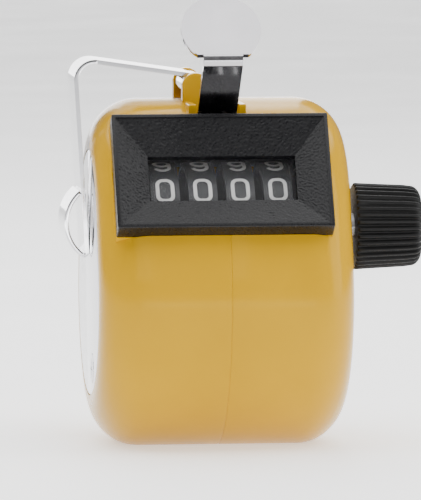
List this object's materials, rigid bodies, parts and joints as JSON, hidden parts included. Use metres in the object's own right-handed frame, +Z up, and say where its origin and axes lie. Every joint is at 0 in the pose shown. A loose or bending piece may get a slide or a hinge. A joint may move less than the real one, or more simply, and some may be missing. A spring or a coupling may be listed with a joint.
{
  "type": "hand tally counter",
  "caption": "Palm-held mechanical tally counter: rounded two-part case, framed window over number wheels, thumb lever on top, ribbed reset knob and hinged finger ring.",
  "frame": {"origin": "under the middle of the part's box, on the plane of the case's flat foot", "axes": "+Z up from the foot to the thumb pad, +X along the wheel shaft towards the reset knob, -Y the front with the number window"},
  "size_m": [0.0538, 0.047, 0.0693],
  "materials": {
    "yellow_plastic": "glossy moulded yellow",
    "black_plastic": "pebbled moulded black",
    "knob_plastic": "satin black, fine ribs",
    "clear_plastic": "clear flat window",
    "cover_chrome": "polished plating",
    "lever_chrome": "polished plating, fine scratches",
    "ring_chrome": "polished plating",
    "screw_steel": "bright steel",
    "pin_steel": "ground steel",
    "frame_steel": "stamped plated steel",
    "spring_steel": "spring steel",
    "pawl_steel": "hardened steel",
    "washer_brass": "plain brass",
    "wheel_plastic": "dark satin with white numbers"
  },
  "bodies": {
    "case": {"case_left": "yellow_plastic", "case_right": "yellow_plastic", "side_cover": "cover_chrome", "case_screws": "screw_steel", "bezel": "black_plastic", "window_lens": "clear_plastic", "frame_left_plate": "frame_steel", "frame_right_plate": "frame_steel", "frame_posts": "pin_steel", "lever_pivot_pin": "pin_steel", "check_spring": "spring_steel", "lever_spring": "spring_steel", "ring_hinge_pin": "pin_steel"},
    "lever": {"thumb_lever": "lever_chrome", "lever_yoke": "frame_steel", "lever_rivets": "screw_steel", "pawl_pin": "pin_steel", "pawl_spring": "spring_steel"},
    "pawl": {"drive_pawl": "pawl_steel"},
    "knob": {"wheel_shaft": "pin_steel", "reset_knob": "knob_plastic", "shaft_clip": "pin_steel", "wheel_spacers": "washer_brass"},
    "ring": {"finger_ring": "ring_chrome"},
    "wheel_thousands": {"number_wheel_thousands": "wheel_plastic", "reset_dog_thousands": "pawl_steel"},
    "wheel_hundreds": {"number_wheel_hundreds": "wheel_plastic", "reset_dog_hundreds": "pawl_steel"},
    "wheel_tens": {"number_wheel_tens": "wheel_plastic", "reset_dog_tens": "pawl_steel"},
    "wheel_units": {"number_wheel_units": "wheel_plastic", "reset_dog_units": "pawl_steel"}
  },
  "joints": [
    {"name": "lever_press", "type": "hinge", "parent": "case", "child": "lever", "pos_m": [-0.00436, -0.015, 0.0175], "axis": [-1, 0, 0], "range_deg": [0, 8.5], "stiffness_Nm_per_rad": 0.25, "springref_deg": -11.46, "deforming": ["lever_spring"]},
    {"name": "pawl_click", "type": "hinge", "parent": "lever", "child": "pawl", "pos_m": [-0.00436, -0.0005, 0.044], "axis": [-1, 0, 0], "range_deg": [0, 8], "stiffness_Nm_per_rad": 0.02, "springref_deg": -17.19},
    {"name": "knob_spin", "type": "hinge", "parent": "case", "child": "knob", "pos_m": [-0.00436, -0.0085, 0.0337], "axis": [-1, 0, 0], "continuous": true},
    {"name": "ring_swing", "type": "hinge", "parent": "case", "child": "ring", "pos_m": [-0.00696, 0.0032, 0.055], "axis": [0, 1, 0], "range_deg": [0, 110]},
    {"name": "wheel_thousands_spin", "type": "hinge", "parent": "case", "child": "wheel_thousands", "pos_m": [-0.00436, -0.0085, 0.0337], "axis": [-1, 0, 0], "continuous": true},
    {"name": "wheel_hundreds_spin", "type": "hinge", "parent": "case", "child": "wheel_hundreds", "pos_m": [-0.00436, -0.0085, 0.0337], "axis": [-1, 0, 0], "continuous": true},
    {"name": "wheel_tens_spin", "type": "hinge", "parent": "case", "child": "wheel_tens", "pos_m": [-0.00436, -0.0085, 0.0337], "axis": [-1, 0, 0], "continuous": true},
    {"name": "wheel_units_spin", "type": "hinge", "parent": "case", "child": "wheel_units", "pos_m": [-0.00436, -0.0085, 0.0337], "axis": [-1, 0, 0], "continuous": true}
  ]
}
